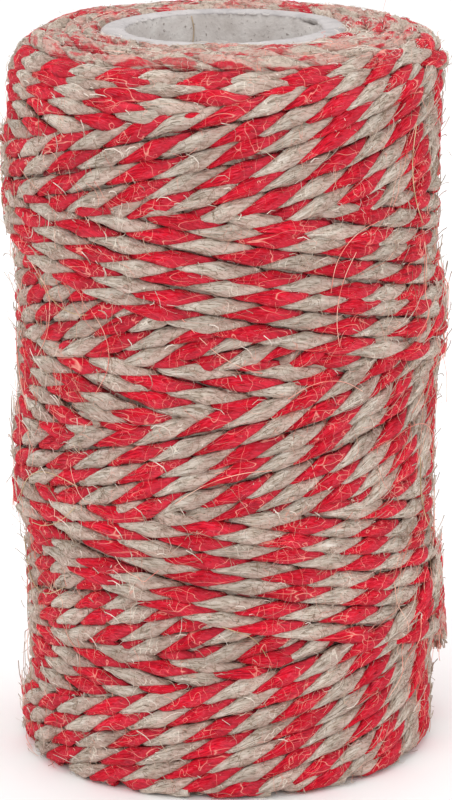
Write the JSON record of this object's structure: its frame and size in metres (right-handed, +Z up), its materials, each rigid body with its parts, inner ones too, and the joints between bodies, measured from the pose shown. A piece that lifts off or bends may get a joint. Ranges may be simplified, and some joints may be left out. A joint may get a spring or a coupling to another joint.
{
  "type": "spool of flax yarn",
  "caption": "Red and natural flax twine, cross-wound on a grey board tube that stands on its end, with the cut end of the yarn loose at the side",
  "frame": {"origin": "middle of the base, on the tube's axis, where the spool stands", "axes": "+Z up along the tube, -Y towards the viewer of the picture, +X to the viewer's right"},
  "size_m": [0.0613, 0.0598, 0.1003],
  "materials": {
    "board": "grey spiral-wound board, matt, with a cut edge",
    "flax_yarn": "two-ply flax, one ply dyed red and one left natural, hairy and matt"
  },
  "bodies": {
    "root": {"core": "board", "winding": "flax_yarn", "loose_end": "flax_yarn"}
  },
  "joints": []
}
